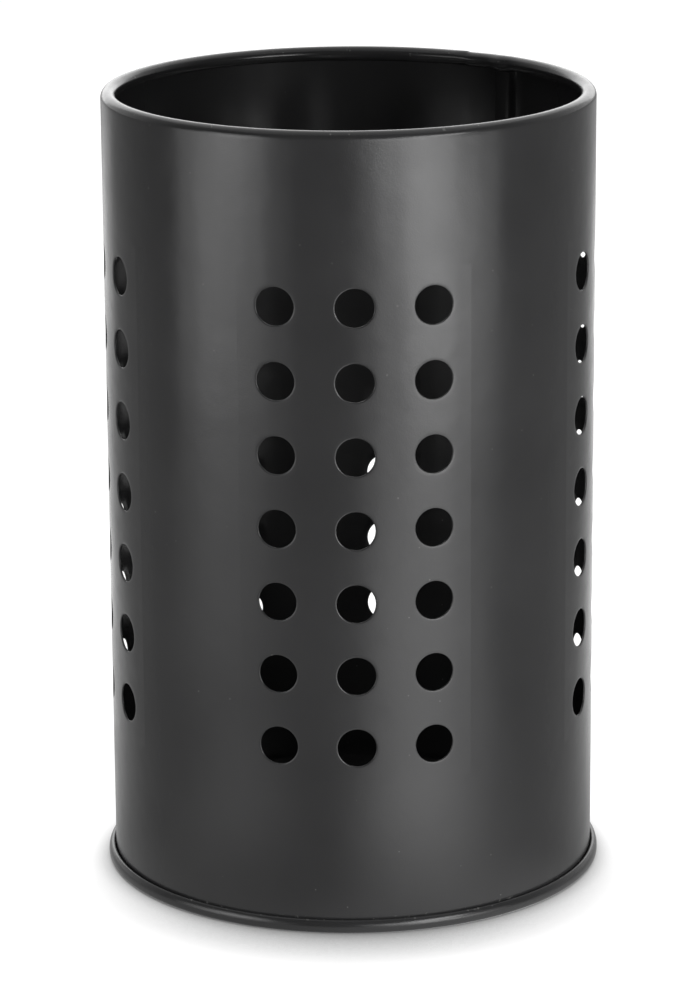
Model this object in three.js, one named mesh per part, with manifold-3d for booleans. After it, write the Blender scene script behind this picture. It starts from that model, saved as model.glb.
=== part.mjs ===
// Cutlery holder: a tall round tumbler of powder-coated sheet steel, in millimetres, +Z up.
// It stands on the XY plane with its axis on Z, and its front group of holes faces -Y.
// Two sheet pieces make it. The wall is a punched blank, rolled up and closed by a lock seam,
// with its top edge curled inwards and its bottom edge turned out and up as a hook.
// The base is a stamped disc whose edge is rolled round that hook, as on a food can.
import * as THREE from 'three';
import { mergeVertices } from 'three/addons/utils/BufferGeometryUtils.js';
import Module from 'manifold-3d';

// Overall form and the sheet itself.
const wallDiameter = 120;
const overallHeight = 195;
const sheet = 0.4;

// Curled rim: a hollow bead, flush with the wall outside.
const rimBead = 3.7;
const rimCurlShare = 0.75;

// Double seam at the foot: its layers, from the chuck wall out to the seaming wall.
const seamClearance = 0.22;
const hookOverlap = 1.04;

// Base panel, set up inside the foot.
const baseRecess = 4.5;
const panelCorner = 1.6;
const panelRise = 1.2;
const panelRiseWidth = 4;
const panelMargin = 15;
const drainDiameter = 6;
const drainMargin = 12;
const drainCount = 6;

// Punched holes: equal groups round the blank, with a plain strip kept free for the lock seam.
const holeDiameter = 9.3;
const holeRows = 7;
const holeColumns = 3;
const holeGroups = 4;
const columnPitch = 18.9;
const plainAbove = 41.3;
const plainBelow = 46.5;
const seamStrip = 17.5;
const groupsBeforeFront = 1;

// Lock seam: the two hooked edges of the blank, folded into each other inside the wall.
const lockWidth = 5;
const lockGap = 0.15;
const lockEndClearance = 0.4;
const lapSlit = 0.3;

// Fineness of the facets, and how far a cut or a joined piece runs past the face that it meets.
const ringSteps = 50;
const quarterBendSteps = 2;
const rimBendSteps = 9;
const joggleSteps = 4;
const lockSteps = 3;
const holeSides = 14;
const overrun = 0.5;

// Places worked out from the sizes above.
const wallRadius = wallDiameter / 2;
const midSheet = sheet / 2;
const wallMid = wallRadius - midSheet;
const layerPitch = sheet + seamClearance;
const chuckMid = wallMid - layerPitch;
const coverHookMid = wallMid + layerPitch;
const bodyHookMid = coverHookMid + layerPitch;
const seamingMid = bodyHookMid + layerPitch;
const bodyBendHeight = sheet + seamClearance + layerPitch + midSheet;
const coverBendHeight = bodyBendHeight + hookOverlap;
const panelMid = baseRecess + midSheet;
const panelTop = panelMid + panelRise + midSheet;
const riseEnd = chuckMid - panelMargin;
const riseStart = riseEnd - panelRiseWidth;
const drainRadius = riseStart - drainMargin;

const rowPitch = (overallHeight - plainAbove - plainBelow) / (holeRows - 1);
const groupPitch = (wallRadius * 2 * Math.PI - seamStrip) / holeGroups;
// Distance round the wall from the middle of the lock seam to the middle of a group of holes.
const groupPlace = (group) => seamStrip / 2 + (group + 1 / 2) * groupPitch;
// Angles are seen from above, from -Y round towards +X, so the front group has its middle at 0.
const seamAngle = groupPlace(groupsBeforeFront) / wallRadius;

const wasm = await Module();
wasm.setup();

// A closed three.js mesh as a solid that can be cut and joined.
function solidOf(geometry) {
  const bare = geometry.clone();
  bare.deleteAttribute('normal');
  bare.deleteAttribute('uv');
  const merged = mergeVertices(bare);
  return new wasm.Manifold(new wasm.Mesh({
    numProp: 3,
    vertProperties: merged.getAttribute('position').array,
    triVerts: new Uint32Array(merged.index.array),
  }));
}

// A solid as a flat-shaded three.js geometry.
function geometryOf(solid) {
  const { vertProperties, triVerts } = solid.getMesh();
  const geometry = new THREE.BufferGeometry();
  geometry.setAttribute('position', new THREE.BufferAttribute(vertProperties, 3));
  geometry.setIndex(new THREE.BufferAttribute(triVerts, 1));
  const faceted = geometry.toNonIndexed();
  faceted.computeVertexNormals();
  return faceted;
}

// Points along a round bend, in equal steps from one angle to the other.
function bend(x, y, radius, from, to, steps) {
  const points = [];
  for (let i = 0; i <= steps; i++) {
    const angle = THREE.MathUtils.lerp(from, to, i / steps);
    points.push(new THREE.Vector2(x + radius * Math.cos(angle), y + radius * Math.sin(angle)));
  }
  return points;
}

// Points of a smooth step from one level to another: flat at both ends, steepest in the middle.
function joggle(x0, y0, x1, y1) {
  const points = [];
  for (let i = 0; i <= joggleSteps; i++) {
    const share = i / joggleSteps;
    const eased = (1 - Math.cos(Math.PI * share)) / 2;
    points.push(new THREE.Vector2(
      THREE.MathUtils.lerp(x0, x1, share),
      THREE.MathUtils.lerp(y0, y1, eased),
    ));
  }
  return points;
}

// Points on a straight stretch, its two ends left out.
function between(start, end, steps) {
  const points = [];
  for (let i = 1; i < steps; i++) {
    points.push(start.clone().lerp(end, i / steps));
  }
  return points;
}

// The closed outline of a bent sheet, half the sheet to each side of its mid-line.
function sheetOutline(midline) {
  const offset = (side) => midline.map((point, i) => {
    const before = midline[Math.max(i - 1, 0)];
    const after = midline[Math.min(i + 1, midline.length - 1)];
    const into = point.clone().sub(i > 0 ? before : after).normalize();
    if (i === 0) into.negate();
    const out = i < midline.length - 1 ? after.clone().sub(point).normalize() : into;
    const along = into.clone().add(out).normalize();
    const reach = side * midSheet / along.dot(into);
    return new THREE.Vector2(point.x - along.y * reach, point.y + along.x * reach);
  });
  return [...offset(-1), ...offset(1).reverse()];
}

// An outline of radius and height turned round the Z axis, with its first facet edge at the seam.
function turned(outline) {
  const lathe = new THREE.LatheGeometry(outline, ringSteps, seamAngle);
  lathe.rotateX(Math.PI / 2);
  return solidOf(lathe);
}

// A straight round cutter, its axis on Y.
function punch(diameter, length) {
  return new THREE.CylinderGeometry(diameter / 2, diameter / 2, length, holeSides);
}

// The wall's mid-line in radius and height: hook, bend, wall, and the rim curled inwards.
function wallSection() {
  const curlRadius = rimBead / 2 - midSheet;
  const curlHeight = overallHeight - rimBead / 2;
  const curlTurn = rimCurlShare * 2 * Math.PI;
  return [
    new THREE.Vector2(bodyHookMid, coverBendHeight),
    ...bend(coverHookMid, bodyBendHeight, layerPitch, 0, -Math.PI, 2 * quarterBendSteps),
    ...bend(wallMid - curlRadius, curlHeight, curlRadius, 0, curlTurn, rimBendSteps),
  ];
}

// Where the lock seam's bends lie along the wall, measured from the middle of the lock.
function lockPlaces() {
  const pitch = sheet + lockGap;
  const bendOut = pitch + midSheet;
  const foldEnd = lockWidth / 2 - bendOut;
  const joggleEnd = foldEnd + bendOut - sheet;
  return { pitch, foldEnd, joggleEnd, joggleStart: joggleEnd + 2 * bendOut };
}

// A mid-line drawn flat, as distance along the wall and depth from its outer face, rolled into
// plan and stood up to the lock's height.
function lockStrip(midline, bottom, top) {
  const outline = sheetOutline(midline).map(({ x, y }) => {
    const angle = seamAngle - x / wallRadius;
    const radius = wallRadius - y;
    return new THREE.Vector2(radius * Math.sin(angle), -radius * Math.cos(angle));
  });
  const strip = new THREE.ExtrudeGeometry(new THREE.Shape(outline), {
    depth: top - bottom,
    steps: 1,
    bevelEnabled: false,
  });
  strip.translate(0, 0, bottom);
  return solidOf(strip);
}

// First edge of the blank: folded back on itself inside the wall.
function foldedEdge({ pitch, foldEnd }) {
  const back = new THREE.Vector2(foldEnd, midSheet + 2 * pitch);
  const end = new THREE.Vector2(-foldEnd, back.y);
  return [
    new THREE.Vector2(foldEnd - overrun, midSheet),
    ...bend(foldEnd, midSheet + pitch, pitch, -Math.PI / 2, Math.PI / 2, 2 * quarterBendSteps),
    ...between(back, end, lockSteps),
    end,
  ];
}

// Second edge: stepped inwards under the fold, then hooked back into it.
function hookedEdge({ pitch, foldEnd, joggleEnd, joggleStart }) {
  const inner = new THREE.Vector2(joggleEnd, midSheet + 3 * pitch);
  const turn = new THREE.Vector2(-foldEnd, inner.y);
  const hook = new THREE.Vector2(-foldEnd, midSheet + pitch);
  const end = new THREE.Vector2(foldEnd, hook.y);
  const hookBend = bend(turn.x, turn.y - pitch, pitch, Math.PI / 2, Math.PI * 1.5,
    2 * quarterBendSteps);
  return [
    new THREE.Vector2(joggleStart + overrun, midSheet),
    ...joggle(joggleStart, midSheet, inner.x, inner.y),
    ...between(inner, turn, lockSteps),
    ...hookBend,
    ...between(hook, end, lockSteps),
    end,
  ];
}

// A block that cuts right through the wall, between two places beside the seam.
function wallNotch(from, to, bottom, top) {
  const inner = wallRadius - rimBead - overrun;
  const outer = seamingMid + sheet + overrun;
  const block = new THREE.BoxGeometry(to - from, outer - inner, top - bottom);
  block.translate(-(from + to) / 2, -(inner + outer) / 2, (bottom + top) / 2);
  block.rotateZ(seamAngle);
  return solidOf(block);
}

// Every hole of the wall, counted round from the seam by group and column, then up by row.
function punchedHoles() {
  const holes = [];
  for (let group = 0; group < holeGroups; group++) {
    for (let column = 0; column < holeColumns; column++) {
      const fromMiddle = (column - (holeColumns - 1) / 2) * columnPitch;
      const fromSeam = groupPlace(group) + fromMiddle;
      for (let row = 0; row < holeRows; row++) {
        const cutter = punch(holeDiameter, holeDiameter);
        cutter.translate(0, -wallMid, plainBelow + row * rowPitch);
        cutter.rotateZ(seamAngle - fromSeam / wallRadius);
        holes.push(solidOf(cutter));
      }
    }
  }
  return holes;
}

// The rolled wall: turned section, opened at the seam, with both lock edges and the holes.
function makeWall() {
  const places = lockPlaces();
  const lockBottom = panelTop + lockEndClearance;
  const lockTop = overallHeight - rimBead - lockEndClearance;
  const section = sheetOutline(wallSection());
  let wall = turned([...section, section[0]]);
  wall = wall.subtract(wallNotch(
    places.foldEnd,
    places.joggleStart,
    lockBottom - lockGap,
    lockTop + lockGap,
  ));
  wall = wall.subtract(wallNotch(
    places.foldEnd,
    places.foldEnd + lapSlit,
    -overrun,
    overallHeight + overrun,
  ));
  wall = wall.add(lockStrip(foldedEdge(places), lockBottom, lockTop));
  wall = wall.add(lockStrip(hookedEdge(places), lockBottom, lockTop));
  for (const hole of punchedHoles()) {
    wall = wall.subtract(hole);
  }
  return geometryOf(wall);
}

// The base's mid-line from the axis out: raised panel, rim of the panel, chuck wall, foot,
// seaming wall, and the cover hook that is tucked behind the wall's hook.
function baseSection() {
  const right = Math.PI / 2;
  const footHeight = midSheet + layerPitch;
  return [
    new THREE.Vector2(0, panelMid + panelRise),
    ...joggle(riseStart, panelMid + panelRise, riseEnd, panelMid),
    ...bend(chuckMid - panelCorner, panelMid - panelCorner, panelCorner, right, 0,
      quarterBendSteps),
    ...bend(wallMid, footHeight, layerPitch, 2 * right, 3 * right, quarterBendSteps),
    ...bend(bodyHookMid, footHeight, layerPitch, -right, 0, quarterBendSteps),
    ...bend(bodyHookMid, coverBendHeight, layerPitch, 0, 2 * right, 2 * quarterBendSteps),
    new THREE.Vector2(coverHookMid, bodyBendHeight),
  ];
}

// An upright cutter through the raised panel, at a distance and an angle from the axis.
function drainPunch(radius, angle) {
  const cutter = punch(drainDiameter, drainDiameter);
  cutter.rotateX(Math.PI / 2);
  cutter.translate(0, -radius, panelMid + panelRise);
  cutter.rotateZ(angle);
  return solidOf(cutter);
}

// The base with its drain holes: one in the middle and a ring round it.
function makeBase() {
  let base = turned(sheetOutline(baseSection())).subtract(drainPunch(0, 0));
  for (let i = 0; i < drainCount; i++) {
    base = base.subtract(drainPunch(drainRadius, i / drainCount * 2 * Math.PI));
  }
  return geometryOf(base);
}

// Satin black powder coat over both pieces.
function powderCoat() {
  return new THREE.MeshStandardMaterial({ color: 0x1c1c1d, roughness: 0.42, metalness: 0 });
}

function piece(name, geometry) {
  const mesh = new THREE.Mesh(geometry, powderCoat());
  mesh.name = name;
  return mesh;
}

const holder = new THREE.Group();
holder.add(piece('perforated_wall', makeWall()));
holder.add(piece('base_disc', makeBase()));

export default holder;
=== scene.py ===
# Cutlery holder of black powder-coated sheet steel, made of two bent sheets. It stands as in the
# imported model: +Z up, front holes facing -Y. Sizes are in millimetres until a mesh is made.
import math

import bpy
import numpy as np
from mathutils import Matrix, Vector


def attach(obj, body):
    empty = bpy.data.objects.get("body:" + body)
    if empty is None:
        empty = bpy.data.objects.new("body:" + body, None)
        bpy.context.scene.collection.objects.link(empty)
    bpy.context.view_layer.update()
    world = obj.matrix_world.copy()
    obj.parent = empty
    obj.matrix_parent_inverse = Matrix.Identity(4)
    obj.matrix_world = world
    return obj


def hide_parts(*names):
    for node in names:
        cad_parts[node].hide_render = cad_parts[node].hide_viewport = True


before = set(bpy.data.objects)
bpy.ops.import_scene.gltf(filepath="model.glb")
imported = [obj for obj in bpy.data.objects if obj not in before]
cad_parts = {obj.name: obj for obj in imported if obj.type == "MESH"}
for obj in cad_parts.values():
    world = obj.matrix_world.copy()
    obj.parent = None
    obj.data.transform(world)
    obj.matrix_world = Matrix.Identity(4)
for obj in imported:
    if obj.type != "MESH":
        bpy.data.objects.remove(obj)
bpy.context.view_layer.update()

# Rolled wall: one punched blank of 0.4 mm steel, rolled up and closed by a lock seam inside.
# Its top edge is curled inwards to a hollow bead, and its bottom edge is turned out and up as
# a hook that the base is folded round.
sheet = 0.4
half_sheet = sheet / 2
wall_radius = 60
wall_height = 195
girth = 2 * math.pi * wall_radius
wall_mid = wall_radius - half_sheet
fold_pitch = 0.585
cover_hook_mid = wall_mid + fold_pitch
body_hook_mid = cover_hook_mid + fold_pitch
body_bend_height = 1.44
body_hook_top = 2.12

bead = 3.7
bead_bend = bead / 2 - half_sheet
bead_height = wall_height - bead / 2
bead_turn = 0.75 * 2 * math.pi

hole_radius = 4.65
hole_rows = 7
hole_columns = 3
hole_groups = 4
hole_steps = 8
column_pitch = 18.9
plain_below = 46.5
plain_above = 41.3
lowest_row = plain_below
highest_row = wall_height - plain_above
row_pitch = (highest_row - lowest_row) / (hole_rows - 1)
seam_strip = 17.5
group_pitch = (girth - seam_strip) / hole_groups
seam_angle = (seam_strip / 2 + group_pitch * 1.5) / wall_radius

# The lock: its fold and its hook reach 2.5 mm to each side, and lie four sheets deep.
lock_reach = 3.2
lock_pitch = 0.55
lock_bend = lock_pitch + half_sheet
fold_end = 1.75
joggle_end = 2.1
joggle_start = 3.6
lock_depth = sheet + 3 * lock_pitch
lock_low = 6.5
lock_clear = 0.4
lock_high = wall_height - bead - lock_clear
lock_fade = 0.2
# Points of the lock, as place along the wall and depth from its outer face.
hook_foot = (-2.5, sheet + 0.03)
hook_flat = [(-0.6, lock_depth), (0.8, lock_depth)]
fold_start = 1.2
fold_tip = (2.62, 0.8)
joggle_points = 9
# The rim laps over itself beside the lock: a step down, which fades out at the lock.
lap_start = -10.9
lap_end = 0.5
lap_edge = 0.12
lap_drop = 0.2
lap_bulge = 0.22
bulge_reach = 4.5

# The net of the sheet: steps between the groups of holes, beside the lock, and up the wall.
first_gap_steps = 8
gap_steps = 12
lap_steps = 4
lock_steps = 5
plain_steps = 9
bend_steps = 8
curl_steps = 27
# The punch drags the outer edge of a hole down in a soft roll, and turns a small burr inside.
hole_roll = 0.36
hole_sink = 0.2
burr = 0.05
outer_rings = (0.5, 0.12)
inner_ring = 0.35


def straight(start, end, steps, face):
    """Rows along a flat stretch: radius and height of the mid-line, then the way it faces."""
    share = np.linspace(0, 1, steps + 1)[:, None]
    middle = np.array(start) * (1 - share) + np.array(end) * share
    return np.hstack([middle, np.tile(np.array(face, float), (steps + 1, 1))])


def rounded(centre, radius, start, end, steps, outside):
    """Rows round a bend. The face looks away from its centre where outside is 1, to it at -1."""
    angle = np.linspace(start, end, steps + 1)
    round_it = np.stack([np.cos(angle), np.sin(angle)], axis=1)
    return np.hstack([np.array(centre) + radius * round_it, outside * round_it])


def ease(share):
    """A smooth step from 0 to 1."""
    share = np.clip(share, 0, 1)
    return share * share * (3 - 2 * share)


def lock_columns():
    """Columns across the lock: place along the wall, then place and depth of each face there."""
    hook_angle = np.radians([235, 208, 180, 157, 134, 112, 90])
    bulge = np.stack([-fold_end + lock_bend * np.cos(hook_angle),
                      sheet + lock_pitch * 1.5 + lock_bend * np.sin(hook_angle)], axis=1)
    share = np.linspace(0, 1, joggle_points)
    stepped = np.stack([joggle_end + (joggle_start - joggle_end) * share,
                        sheet + (lock_depth - sheet) * (1 + np.cos(np.pi * share)) / 2], axis=1)
    inner = np.vstack([[(-lock_reach, sheet), hook_foot], bulge, hook_flat, stepped])
    fold_angle = np.radians([-90, -60, -32, -8])
    fold = np.stack([fold_end + lock_bend * np.cos(fold_angle),
                     lock_bend + lock_bend * np.sin(fold_angle)], axis=1)
    share = np.array([0.42, 0.28, 0.14, 0])
    back = np.stack([joggle_start - (joggle_start - joggle_end) * share,
                     (lock_depth - sheet) * (1 - np.cos(np.pi * share)) / 2], axis=1)
    flat = np.linspace(-lock_reach, fold_start, len(inner) - joggle_points)
    plain = np.stack([flat, np.zeros(len(flat))], axis=1)
    outer = np.vstack([plain, fold, [fold_tip], back])
    place = np.concatenate([flat, np.linspace(fold_end, joggle_start, joggle_points)])
    return np.column_stack([place, outer, inner])


def wall_columns():
    """All columns round the wall from the lock, and the first column of each column of holes."""
    def plain(start, end, steps):
        place = np.linspace(start, end, steps + 1)[1:]
        return np.column_stack([place, place, 0 * place, place, 0 * place + sheet])

    parts = [lock_columns()]
    at = joggle_start
    first = []
    count = len(parts[0])
    for group in range(hole_groups):
        middle = seam_strip / 2 + (group + 0.5) * group_pitch
        side = hole_columns * column_pitch / 2
        steps = first_gap_steps if group == 0 else gap_steps
        parts.append(plain(at, middle - side, steps))
        count += steps
        for column in range(hole_columns):
            first.append(count - 1 + column * hole_steps)
        parts.append(plain(middle - side, middle + side, hole_columns * hole_steps))
        count += hole_columns * hole_steps
        at = middle + side
    lap = girth + lap_start
    parts.append(plain(at, lap - lap_edge, lap_steps))
    parts.append(plain(lap - lap_edge, lap + lap_edge, 1))
    parts.append(plain(lap + lap_edge, girth - lock_reach, lock_steps)[:-1])
    return np.vstack(parts), first


def wall_rows():
    """All rows up the wall, how far each has turned round the bead, and the rows of holes."""
    face = (1, 0)
    low = lowest_row - row_pitch / 2
    high = highest_row + row_pitch / 2
    rows = [
        straight((body_hook_mid, body_hook_top), (body_hook_mid, body_bend_height), 1, (-1, 0)),
        rounded((cover_hook_mid, body_bend_height), fold_pitch, 0, -math.pi, bend_steps, -1)[1:],
        straight((wall_mid, body_bend_height), (wall_mid, lock_low - lock_fade), 2, face)[1:],
        straight((wall_mid, lock_low), (wall_mid, low), plain_steps, face),
        straight((wall_mid, low), (wall_mid, high), hole_rows * hole_steps, face)[1:],
        straight((wall_mid, high), (wall_mid, lock_high), plain_steps, face)[1:],
        straight((wall_mid, lock_high + lock_fade), (wall_mid, bead_height), 3, face)[:-1],
    ]
    curl = rounded((wall_mid - bead_bend, bead_height), bead_bend, 0, bead_turn, curl_steps, 1)
    plain = np.vstack(rows)
    turned = np.concatenate([np.zeros(len(plain)), np.linspace(0, bead_turn, len(curl))])
    curled = np.arange(len(turned)) >= len(plain)
    start = sum(len(part) for part in rows[:4]) - 1
    first = [start + row * hole_steps for row in range(hole_rows)]
    return np.vstack([plain, curl]), turned, curled, first


def wall_skin(columns, rows, turned, curled, inside):
    """Points of one face of the wall, as rows by columns."""
    place = columns[:, 0]
    own_place = columns[:, 3 if inside else 1]
    depth = columns[:, 4 if inside else 2]
    base_depth = sheet if inside else 0
    height = rows[:, 1]
    locked = (height >= lock_low) & (height <= lock_high) & (rows[:, 2] == 1) & ~curled
    locked = locked[:, None]
    at = np.where(locked, own_place[None, :], place[None, :])
    deep = np.where(locked, depth[None, :], base_depth)
    out = half_sheet - deep
    radius = rows[:, 0, None] + rows[:, 2, None] * out
    up = rows[:, 1, None] + rows[:, 3, None] * out
    # The bead is fuller at the lock, and steps down where the rim laps over itself.
    beside = (place + girth / 2) % girth - girth / 2
    fuller = lap_bulge * (1 - ease(abs(beside) / bulge_reach))[None, :]
    angle = turned[:, None]
    on_bead = curled[:, None]
    radius = radius - on_bead * fuller * (1 - np.cos(angle))
    up = up + on_bead * fuller * (np.sin(angle) - 1)
    lapped = (beside > lap_start) & (beside < lap_end)
    drop = np.where(lapped, lap_drop * (1 - (beside - lap_start) / (lap_end - lap_start)), 0)
    up = up - on_bead * ease(angle) * drop[None, :]
    turn = seam_angle - at / wall_radius
    return np.stack([radius * np.sin(turn), -radius * np.cos(turn), up], axis=2)


def on_wall(place, height, depth):
    """Points at a place along the plain wall, at a height and a depth from its outer face."""
    turn = seam_angle - place / wall_radius
    radius = wall_radius - depth
    return np.stack([radius * np.sin(turn), -radius * np.cos(turn), height], axis=-1)


def cell_loop(grid, row, column):
    """The grid points round the cell of one hole, from its lowest and first corner."""
    steps = hole_steps
    across = [grid[row, column + i] for i in range(steps)]
    up = [grid[row + i, column + steps] for i in range(steps)]
    back = [grid[row + steps, column + steps - i] for i in range(steps)]
    down = [grid[row + steps - i, column] for i in range(steps)]
    return across + up + back + down


def punched_edge(radius, roll, sink):
    """Rings from the outer face through a punched hole: radius and depth of each."""
    angle = np.radians([0, 25, 50, 70, 90])
    rolled = np.stack([radius + roll * (1 - np.sin(angle)), sink * (1 - np.cos(angle))], axis=1)
    angle = np.radians([0, 45, 90])
    turned = np.stack([radius + burr * (1 - np.cos(angle)),
                       sheet - burr + burr * np.sin(angle)], axis=1)
    return np.vstack([rolled, turned])


def join(loops):
    """Four-sided faces between each closed loop of points and the next."""
    faces = []
    for low, high in zip(loops[:-1], loops[1:]):
        for i in range(len(low)):
            j = (i + 1) % len(low)
            faces.append((low[i], low[j], high[j], high[i]))
    return faces


def bent_sheet(name, points, faces, coat):
    """A piece of bent sheet as one mesh: smooth bends, with crisp edges where the sheet ends."""
    metres = 0.001
    crisp_turn = math.radians(50)
    mesh = bpy.data.meshes.new(name)
    mesh.from_pydata((np.array(points) * metres).tolist(), [], faces)
    mesh.validate()
    mesh.materials.append(coat)
    mesh.shade_smooth()
    mesh.set_sharp_from_angle(angle=crisp_turn)
    piece = bpy.data.objects.new(name, mesh)
    bpy.context.collection.objects.link(piece)
    return piece


def make_wall():
    """The two faces of the wall on one net of rows and columns, then the edges of its holes."""
    columns, first_columns = wall_columns()
    rows, turned, curled, first_rows = wall_rows()
    row_count = len(rows)
    column_count = len(columns)
    open_cell = np.zeros((row_count, column_count), bool)
    inside_cell = np.zeros((row_count, column_count), bool)
    for column in first_columns:
        for row in first_rows:
            open_cell[row:row + hole_steps, column:column + hole_steps] = True
            inside_cell[row + 1:row + hole_steps, column + 1:column + hole_steps] = True

    points = []
    grids = []
    faces = []
    for inside in (False, True):
        skin = wall_skin(columns, rows, turned, curled, inside)
        grid = np.full((row_count, column_count), -1)
        grid[~inside_cell] = len(points) + np.arange((~inside_cell).sum())
        points.extend(skin[~inside_cell])
        for i in range(row_count - 1):
            for j in range(column_count):
                if open_cell[i, j]:
                    continue
                k = (j + 1) % column_count
                corners = (grid[i, j], grid[i, k], grid[i + 1, k], grid[i + 1, j])
                faces.append(corners if inside else corners[::-1])
        grids.append(grid)
    outer, inner = grids
    faces += join([outer[0], inner[0]])
    faces += join([inner[-1], outer[-1]])

    # Each hole is a round loop in its own cell of both faces.
    loop_points = 4 * hole_steps
    rings = punched_edge(hole_radius, hole_roll, hole_sink)
    angle = np.radians(-135) + 2 * np.pi * np.arange(loop_points) / loop_points
    circle = np.stack([np.cos(angle), np.sin(angle)], axis=1)
    net = np.stack(np.meshgrid(columns[:, 0], rows[:, 1]), axis=-1)
    for column in first_columns:
        for row in first_rows:
            middle = np.array([columns[column, 0] + column_pitch / 2,
                               rows[row, 1] + row_pitch / 2])
            edge = np.array(cell_loop(net, row, column))
            flat = []
            start = middle + rings[0, 0] * circle
            for share in outer_rings:
                flat.append((start * (1 - share) + edge * share, 0))
            for radius, depth in rings:
                flat.append((middle + radius * circle, depth))
            start = middle + rings[-1, 0] * circle
            flat.append((start * (1 - inner_ring) + edge * inner_ring, sheet))
            loops = [cell_loop(outer, row, column)]
            for place, depth in flat:
                loops.append(list(range(len(points), len(points) + loop_points)))
                points.extend(on_wall(place[:, 0], place[:, 1], depth))
            loops.append(cell_loop(inner, row, column))
            faces += join(loops)
    return points, faces


# The satin black powder is baked on after the folding. The sheet under it ripples a little. The
# film has a fine grain, a faint orange peel and clouds in its gloss, with specks and pale rubs.
coat_black = (0.018, 0.018, 0.0185)
coat_clouds = (0.022, 0.022, 0.0225)
coat_dust = (0.13, 0.13, 0.125)
coat_roughness = 0.2
coat_gloss_level = 0.3
clouds_per_metre = 26
smudges_per_metre = 70
ripples_per_metre = 90
peel_per_metre = 520
grain_per_metre = 2600
specks_per_metre = 400
rubs_per_metre = 750
gloss_clouds = 0.025
gloss_smudges = 0.045
ripple_depth = 0.0001
peel_depth = 0.00004
peel_strength = 0.3
grain_depth = 0.000015
# Where each pattern starts and is full, as levels of its noise or distance.
cloud_range = (0.35, 0.65)
gloss_range = (0.3, 0.7)
smudge_range = (0.45, 0.65)
rub_range = (0.69, 0.75)
dust_range = (0.65, 0.72)
speck_range = (0.03, 0.08)
speck_choice = (0.88, 0.9)
speck_strength = 0.8
rub_strength = 0.6
# Heights above the table in metres: the rubs on the rim, and the dust above the foot seam.
rim_heights = (0.1925, 0.194)
crack_start = (0.0027, 0.003)
crack_end = (0.0034, 0.0039)


def combine(tree, operation, first, second):
    """One Math node that joins two outputs, or an output and a number."""
    step = tree.nodes.new("ShaderNodeMath")
    step.operation = operation
    for socket, value in zip(step.inputs, (first, second)):
        if isinstance(value, (int, float)):
            socket.default_value = value
        else:
            tree.links.new(value, socket)
    return step.outputs["Value"]


def spread(tree, value, low, high, to_low, to_high, curve="LINEAR"):
    """One Map Range node, held to its two ends."""
    reach = tree.nodes.new("ShaderNodeMapRange")
    reach.interpolation_type = curve
    reach.inputs["From Min"].default_value = low
    reach.inputs["From Max"].default_value = high
    reach.inputs["To Min"].default_value = to_low
    reach.inputs["To Max"].default_value = to_high
    tree.links.new(value, reach.inputs["Value"])
    return reach.outputs["Result"]


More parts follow.
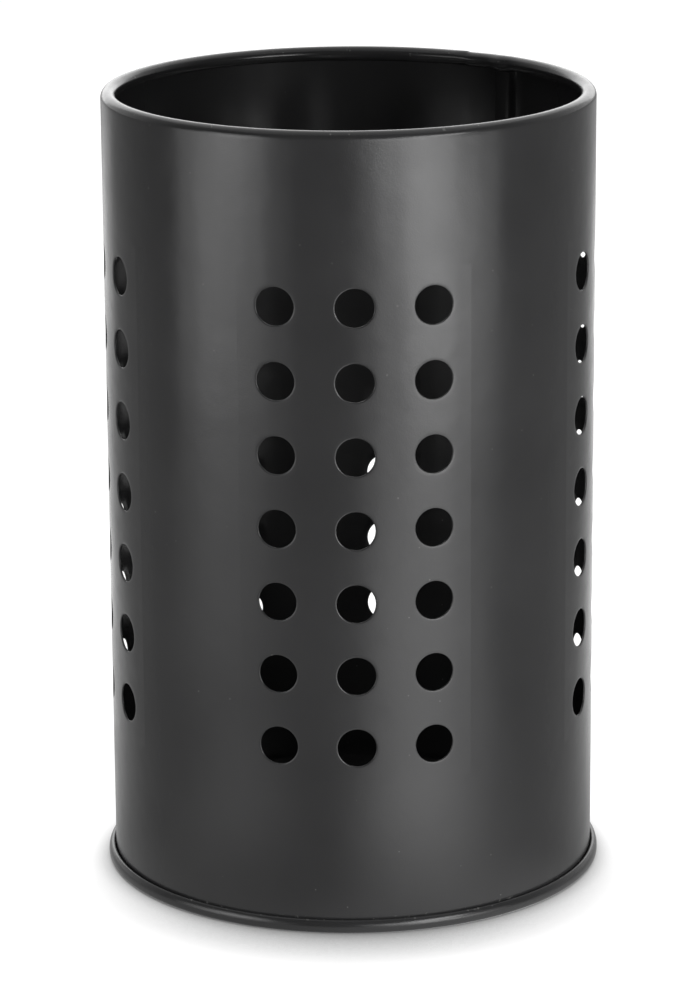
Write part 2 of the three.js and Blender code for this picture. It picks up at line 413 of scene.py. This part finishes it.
def powder_coat(name):
    """Satin black powder coat, its pattern laid out in the object's own metres."""
    material = bpy.data.materials.new(name)
    material.use_nodes = True
    tree = material.node_tree
    shader = tree.nodes["Principled BSDF"]
    shader.inputs["Specular IOR Level"].default_value = coat_gloss_level
    place = tree.nodes.new("ShaderNodeTexCoord").outputs["Object"]

    def noise(per_metre, detail):
        texture = tree.nodes.new("ShaderNodeTexNoise")
        texture.inputs["Scale"].default_value = per_metre
        texture.inputs["Detail"].default_value = detail
        tree.links.new(place, texture.inputs["Vector"])
        return texture.outputs["Fac"]

    def mixed(first, second, factor):
        mix = tree.nodes.new("ShaderNodeMix")
        mix.data_type = "RGBA"
        for socket, value in ((mix.inputs["A"], first), (mix.inputs["B"], second)):
            if isinstance(value, tuple):
                socket.default_value = (*value, 1)
            else:
                tree.links.new(value, socket)
        tree.links.new(factor, mix.inputs["Factor"])
        return mix.outputs["Result"]

    # Specks: the middle of a few cells, the rest of them left out by their random colour.
    cells = tree.nodes.new("ShaderNodeTexVoronoi")
    cells.inputs["Scale"].default_value = specks_per_metre
    tree.links.new(place, cells.inputs["Vector"])
    cell_colour = tree.nodes.new("ShaderNodeSeparateColor")
    tree.links.new(cells.outputs["Color"], cell_colour.inputs["Color"])
    near = spread(tree, cells.outputs["Distance"], *speck_range, 1, 0)
    chosen = spread(tree, cell_colour.outputs["Red"], *speck_choice, 0, speck_strength)
    specks = combine(tree, "MULTIPLY", near, chosen)

    # Rubs on top of the rim, and dust in the crack above the foot seam.
    split = tree.nodes.new("ShaderNodeSeparateXYZ")
    tree.links.new(place, split.inputs["Vector"])
    height = split.outputs["Z"]
    patches = noise(rubs_per_metre, 2)
    rim = spread(tree, height, *rim_heights, 0, rub_strength)
    rubs = combine(tree, "MULTIPLY", rim, spread(tree, patches, *rub_range, 0, 1))
    above = spread(tree, height, *crack_start, 0, 1)
    below = spread(tree, height, *crack_end, rub_strength, 0)
    crack = combine(tree, "MULTIPLY", above, below)
    dust = combine(tree, "MULTIPLY", crack, spread(tree, patches, *dust_range, 0, 1))
    pale = combine(tree, "MAXIMUM", specks, combine(tree, "MAXIMUM", rubs, dust))

    clouds = noise(clouds_per_metre, 3)
    black = mixed(coat_black, coat_clouds, spread(tree, clouds, *cloud_range, 0, 1))
    tree.links.new(mixed(black, coat_dust, pale), shader.inputs["Base Color"])

    glossier = coat_roughness - gloss_clouds
    duller = coat_roughness + gloss_clouds
    cloudy = spread(tree, clouds, *gloss_range, glossier, duller)
    smudged = spread(tree, noise(smudges_per_metre, 4), *smudge_range, 0, gloss_smudges)
    tree.links.new(combine(tree, "ADD", cloudy, smudged), shader.inputs["Roughness"])

    def bumped(height_map, strength, distance, under):
        bump = tree.nodes.new("ShaderNodeBump")
        bump.inputs["Strength"].default_value = strength
        bump.inputs["Distance"].default_value = distance
        tree.links.new(height_map, bump.inputs["Height"])
        if under:
            tree.links.new(under, bump.inputs["Normal"])
        return bump.outputs["Normal"]

    ripple = bumped(noise(ripples_per_metre, 2), 1, ripple_depth, None)
    peel = bumped(noise(peel_per_metre, 2), peel_strength, peel_depth, ripple)
    grain = bumped(noise(grain_per_metre, 1), 1, grain_depth, peel)
    tree.links.new(grain, shader.inputs["Normal"])
    return material


wall_points, wall_faces = make_wall()
wall = bent_sheet("rolled_wall", wall_points, wall_faces, powder_coat("wall_powder_coat"))
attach(wall, "root")
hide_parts("perforated_wall")

# Seamed base: one stamped disc of the same sheet. Its panel has a raised middle with drain
# holes, and its edge runs down inside the wall, under the wall's hook, up outside it, and over
# and down behind it. That double seam holds the two sheets together and stands on the table.
chuck_mid = wall_mid - fold_pitch
seaming_mid = body_hook_mid + fold_pitch
foot_height = half_sheet + fold_pitch
seam_top = 3.065
# Outside, the seam is one wide curve that ends in a tight fold at its top.
seam_curve = 2.4
seam_fold = 0.3
fold_mid = cover_hook_mid + seam_fold
fold_height = seam_top - seam_fold
curve_mid = seaming_mid - seam_curve
curve_end = math.acos((fold_mid - curve_mid) / (seam_curve - seam_fold))
curve_height = fold_height - (seam_curve - seam_fold) * math.sin(curve_end)
panel_mid = 4.7
panel_corner = 1.6
panel_rise = 1.2
panel_top = panel_mid + panel_rise
rise_start = 40.18
rise_end = 44.18
rise_points = 9
drain_radius = 3
drain_roll = 0.3
drain_sink = 0.18
middle_drain_radius = drain_radius + 0.2
drain_net_ring = 0.4
drain_ring = 28.18
drain_count = 6
# Half the width of the cell round a drain hole, and the spokes of the whole net.
drain_cell = 5
base_columns = 144


def base_rows():
    """Rows of the base from its middle drain hole out to the free edge of its hook."""
    right = math.pi / 2
    down = (0, -1)
    share = np.linspace(0, 1, rise_points)
    rise = np.stack([rise_start + (rise_end - rise_start) * share,
                     panel_mid + panel_rise * (1 + np.cos(np.pi * share)) / 2], axis=1)
    slope = np.gradient(rise, axis=0)
    slope /= np.linalg.norm(slope, axis=1)[:, None]
    rise = np.hstack([rise, slope[:, 1:2], -slope[:, 0:1]])
    corner = (chuck_mid - panel_corner, panel_mid - panel_corner)
    cell_start = drain_ring - drain_cell
    cell_end = drain_ring + drain_cell
    return [
        straight((middle_drain_radius, panel_top), (cell_start, panel_top), 5, down),
        straight((cell_start, panel_top), (cell_end, panel_top), hole_steps, down)[1:],
        straight((cell_end, panel_top), (rise_start, panel_top), 2, down)[1:-1],
        rise,
        straight((rise_end, panel_mid), (corner[0], panel_mid), 4, down)[1:],
        rounded(corner, panel_corner, right, 0, 6, -1)[1:],
        straight((chuck_mid, corner[1]), (chuck_mid, foot_height), 2, (-1, 0))[1:],
        rounded((wall_mid, foot_height), fold_pitch, 2 * right, 3 * right, 6, 1)[1:],
        straight((wall_mid, half_sheet), (body_hook_mid, half_sheet), 2, down)[1:],
        rounded((body_hook_mid, foot_height), fold_pitch, -right, 0, 6, 1)[1:],
        straight((seaming_mid, foot_height), (seaming_mid, curve_height), 2, (1, 0))[1:],
        rounded((curve_mid, curve_height), seam_curve, 0, curve_end, 8, 1)[1:],
        rounded((fold_mid, fold_height), seam_fold, curve_end, 2 * right, 7, 1)[1:],
        straight((cover_hook_mid, fold_height), (cover_hook_mid, body_bend_height), 1,
                 (-1, 0))[1:],
    ]


def make_base():
    """The two faces of the base on one net of rings and spokes, then its drain holes."""
    parts = base_rows()
    rows = np.vstack(parts)
    first_row = len(parts[0]) - 1
    step_turn = 2 * math.pi / base_columns
    turn = step_turn * np.arange(base_columns)
    cells = [(round(base_columns * i / drain_count) - hole_steps // 2) % base_columns
             for i in range(drain_count)]
    open_cell = np.zeros((len(rows), base_columns), bool)
    inside_cell = np.zeros((len(rows), base_columns), bool)
    for cell in cells:
        across = (cell + np.arange(hole_steps)) % base_columns
        open_cell[first_row:first_row + hole_steps, across] = True
        inside_cell[first_row + 1:first_row + hole_steps, across[1:]] = True

    points = []
    grids = []
    faces = []
    for side in (1, -1):
        radius = (rows[:, 0] + side * half_sheet * rows[:, 2])[:, None]
        up = (rows[:, 1] + side * half_sheet * rows[:, 3])[:, None] + 0 * turn
        skin = np.stack([radius * np.sin(turn), -radius * np.cos(turn), up], axis=2)
        grid = np.full((len(rows), base_columns), -1)
        grid[~inside_cell] = len(points) + np.arange((~inside_cell).sum())
        points.extend(skin[~inside_cell])
        for i in range(len(rows) - 1):
            for j in range(base_columns):
                if open_cell[i, j]:
                    continue
                k = (j + 1) % base_columns
                corners = (grid[i, j], grid[i, k], grid[i + 1, k], grid[i + 1, j])
                faces.append(corners if side > 0 else corners[::-1])
        grids.append(grid)
    under, over = grids
    faces += join([over[0], under[0]])
    faces += join([under[-1], over[-1]])

    # The drain holes are punched from above, so their rolled edge is on the upper face.
    top = panel_top + half_sheet
    rings = punched_edge(drain_radius, drain_roll, drain_sink)
    order = 2 * math.pi * np.arange(4 * hole_steps) / (4 * hole_steps)
    twice_over = np.hstack([over, over])
    twice_under = np.hstack([under, under])
    for cell in cells:
        middle_turn = turn[cell] + hole_steps / 2 * step_turn
        middle = drain_ring * np.array([math.sin(middle_turn), -math.cos(middle_turn)])
        loops = [cell_loop(twice_over, first_row, cell)]
        edge = np.array([points[i][:2] for i in loops[0]])
        toward = edge[0] - middle
        start_turn = math.atan2(toward[1], toward[0])
        circle = np.stack([np.cos(start_turn + order), np.sin(start_turn + order)], axis=1)
        start = middle + rings[0, 0] * circle
        flat = [(start * (1 - drain_net_ring) + edge * drain_net_ring, top)]
        for radius, depth in rings:
            flat.append((middle + radius * circle, top - depth))
        for place, height in flat:
            loops.append(list(range(len(points), len(points) + len(order))))
            points.extend(np.column_stack([place, np.full(len(place), height)]))
        loops.append(cell_loop(twice_under, first_row, cell))
        faces += [face[::-1] for face in join(loops)]
    return points, faces


base_points, base_faces = make_base()
base = bent_sheet("seamed_base", base_points, base_faces, powder_coat("base_powder_coat"))
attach(base, "root")
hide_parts("base_disc")

# Floor: a pale table top that runs out into the white backdrop. Its glow carries a painted shadow
# of the holder close round its foot, and further in front, as if most light came from behind.
floor_colour = (0.35, 0.35, 0.35, 1)
floor_glow = 0.95
floor_reach = 6
floor_drop = 0.00005
# Each painted shade: how far it reaches, its darkest level, and the open share where it
# starts and ends.
near_reach = 0.008
near_shade = 0.58
near_open = (0.55, 1)
front_reach = 0.04
front_shade = 0.1
front_open = (0.33, 0.75)
front_lean = math.radians(50)
# The coat mirrors the table at less than the full white, with painted pools of light in front
# of the soft boxes and behind: degrees from the front, distance and reach in metres, and level.
mirrored_share = 0.26
painted_light_pools = ((22, 0.15, 0.09, 2.1), (33, 0.12, 0.09, 0.2), (33, 0.2, 0.14, 1.5),
               (33, 0.35, 0.22, 3.3), (-45, 0.15, 0.09, 0.8), (-58, 0.35, 0.22, 1.1),
               (0, 0.04, 0.07, 0.55), (30, 0.07, 0.06, 0.9), (-50, 0.07, 0.06, 0.25),
               (180, 0.25, 0.3, 1.2), (180, 0.65, 0.5, 1.5), (13, 0.3, 0.1, 1.4),
               (13, 0.45, 0.14, 1.2))


def pale_floor():
    """Matt floor glowing white, with a painted shadow, and painted light pools seen in
    reflections.
    """
    material = bpy.data.materials.new("pale_floor")
    material.use_nodes = True
    tree = material.node_tree
    tree.nodes.remove(tree.nodes["Principled BSDF"])
    matt = tree.nodes.new("ShaderNodeBsdfDiffuse")
    matt.inputs["Color"].default_value = floor_colour

    def painted_shade(reach, lean, open_share, darkest, curve):
        open_sky = tree.nodes.new("ShaderNodeAmbientOcclusion")
        open_sky.inputs["Distance"].default_value = reach
        toward = tree.nodes.new("ShaderNodeCombineXYZ")
        toward.inputs["Y"].default_value = math.sin(lean)
        toward.inputs["Z"].default_value = math.cos(lean)
        tree.links.new(toward.outputs["Vector"], open_sky.inputs["Normal"])
        return spread(tree, open_sky.outputs["AO"], *open_share, darkest, 1, curve)

    # Painted shadow: the glow is darkened where a point of the floor sees little open sky.
    near = painted_shade(near_reach, 0, near_open, near_shade, "SMOOTHSTEP")
    front = painted_shade(front_reach, front_lean, front_open, front_shade, "LINEAR")
    plain = combine(tree, "MULTIPLY", combine(tree, "MULTIPLY", near, front), floor_glow)

    place = tree.nodes.new("ShaderNodeTexCoord").outputs["Object"]
    # Painted pools of light in the glow, which only reflections see.
    pools = mirrored_share
    for azimuth, distance, reach, level in painted_light_pools:
        turn = math.radians(azimuth)
        away = tree.nodes.new("ShaderNodeVectorMath")
        away.operation = "DISTANCE"
        away.inputs[1].default_value = (distance * math.sin(turn), -distance * math.cos(turn), 0)
        tree.links.new(place, away.inputs[0])
        pool = spread(tree, away.outputs["Value"], 0, reach, level, 0, "SMOOTHSTEP")
        pools = combine(tree, "ADD", pool, pools)

    path = tree.nodes.new("ShaderNodeLightPath")
    mirrored = combine(tree, "MULTIPLY", path.outputs["Is Glossy Ray"], pools)
    seen = combine(tree, "MAXIMUM", path.outputs["Is Camera Ray"],
                   path.outputs["Is Transmission Ray"])
    level = combine(tree, "MAXIMUM", mirrored, combine(tree, "MULTIPLY", seen, plain))
    glow = tree.nodes.new("ShaderNodeEmission")
    tree.links.new(level, glow.inputs["Strength"])
    both = tree.nodes.new("ShaderNodeAddShader")
    tree.links.new(matt.outputs["BSDF"], both.inputs[0])
    tree.links.new(glow.outputs["Emission"], both.inputs[1])
    tree.links.new(both.outputs["Shader"], tree.nodes["Material Output"].inputs["Surface"])
    return material


floor_mesh = bpy.data.meshes.new("floor")
floor_mesh.from_pydata([(-floor_reach, -floor_reach, 0), (floor_reach, -floor_reach, 0),
                        (floor_reach, floor_reach, 0), (-floor_reach, floor_reach, 0)],
                       [], [(0, 1, 2, 3)])
floor_mesh.materials.append(pale_floor())
floor = bpy.data.objects.new("floor", floor_mesh)
floor.location.z = -floor_drop
bpy.context.collection.objects.link(floor)

# Studio: a white backdrop behind, and a dim room on the side of the camera. Low soft boxes to
# the right and left make the long highlights of the wall, and others light its sides and rim.
room_level = 0.1
backdrop_start = -0.1
backdrop_full = 0.7
# Each tall soft box is made of narrow strips in two rows: degrees from the front, and the
# power of the low and the high strip in watts.
strips = ((9, 0.04, 0.1), (18, 0.1, 0.25), (29, 0.25, 0.34), (40, 0.27, 0.18), (51, 0.16, 0.05),
          (62, 0.08, 0.03), (-33, 0.03, 0.01), (-44, 0.08, 0.16), (-55, 0.11, 0.2),
          (-66, 0.12, 0.11), (-77, 0.06, 0.06))
strip_distance = 0.55
low_strip_height = 0.05
high_strip_height = 0.15
strip_width = 0.11
strip_tall = 0.1


def studio():
    """The world: a white backdrop for the camera and for reflections of what is behind."""
    world = bpy.data.worlds.new("studio")
    world.use_nodes = True
    tree = world.node_tree
    backdrop = tree.nodes["Background"]
    backdrop.inputs["Color"].default_value = (1, 1, 1, 1)
    way = tree.nodes.new("ShaderNodeSeparateXYZ")
    tree.links.new(tree.nodes.new("ShaderNodeTexCoord").outputs["Generated"], way.inputs["Vector"])
    behind = spread(tree, way.outputs["Y"], backdrop_start, backdrop_full, 0, 1)
    path = tree.nodes.new("ShaderNodeLightPath")
    mirrored = combine(tree, "MULTIPLY", path.outputs["Is Glossy Ray"], behind)
    seen = combine(tree, "MAXIMUM", mirrored, path.outputs["Is Camera Ray"])
    seen = combine(tree, "MAXIMUM", seen, path.outputs["Is Transmission Ray"])
    tree.links.new(spread(tree, seen, 0, 1, room_level, 1), backdrop.inputs["Strength"])
    return world


def soft_box(name, azimuth, distance, height, aim, width, tall, power):
    """A rectangular lamp, placed round the object from the front, and aimed at its axis."""
    lamp = bpy.data.lights.new(name, "AREA")
    lamp.shape = "RECTANGLE"
    lamp.size = width
    lamp.size_y = tall
    lamp.energy = power
    holder = bpy.data.objects.new(name, lamp)
    turn = math.radians(azimuth)
    holder.location = (distance * math.sin(turn), -distance * math.cos(turn), height)
    look = Vector((0, 0, aim)) - holder.location
    holder.rotation_euler = look.to_track_quat("-Z", "Y").to_euler()
    holder.visible_camera = False
    bpy.context.collection.objects.link(holder)


bpy.context.scene.world = studio()
for azimuth, low_power, high_power in strips:
    for row, height, power in (("low", low_strip_height, low_power),
                               ("high", high_strip_height, high_power)):
        soft_box("%s_strip_%d" % (row, azimuth), azimuth, strip_distance, height, height,
                 strip_width, strip_tall, power)
soft_box("right_top", 38, 0.55, 0.26, 0.15, 0.25, 0.12, 1)
soft_box("left_top", -54, 0.55, 0.26, 0.15, 0.25, 0.12, 0.3)
soft_box("left_edge", -150, 0.6, 0.12, 0.1, 0.2, 0.24, 0.06)
soft_box("right_edge", 150, 0.6, 0.12, 0.1, 0.2, 0.24, 0.01)
soft_box("back_box", 180, 1.2, 0.55, 0.1, 1.6, 0.7, 5)
soft_box("top_box", 180, 0.15, 0.9, 0.15, 1.3, 1.3, 4.5)

# Camera: the pinhole view that was fitted to the photograph's outline, rim, foot and holes. It
# stands a metre in front and looks down by 15.6 degrees. Angles are in radians.
camera_lens = 155.18
camera_distance = 1.03124
camera_height = 0.37822
camera_pitch = 0.27154
camera_roll = -0.0064
camera_yaw = -0.00047
front_group_turn = -0.01862
camera_data = bpy.data.cameras.new("camera")
camera_data.sensor_width = 36
camera_data.lens = camera_lens
forward = Vector((math.sin(camera_yaw) * math.cos(camera_pitch),
                  math.cos(camera_yaw) * math.cos(camera_pitch),
                  -math.sin(camera_pitch)))
level_right = Vector((math.cos(camera_yaw), -math.sin(camera_yaw), 0))
level_up = level_right.cross(forward)
right = math.cos(camera_roll) * level_right + math.sin(camera_roll) * level_up
up = math.cos(camera_roll) * level_up - math.sin(camera_roll) * level_right
pose = Matrix((right, up, -forward)).transposed().to_4x4()
pose.translation = Vector((0, -camera_distance, camera_height))
camera = bpy.data.objects.new("camera", camera_data)
camera.matrix_world = Matrix.Rotation(front_group_turn, 4, "Z") @ pose
bpy.context.collection.objects.link(camera)
bpy.context.scene.camera = camera
bpy.context.scene.view_settings.view_transform = "Standard"
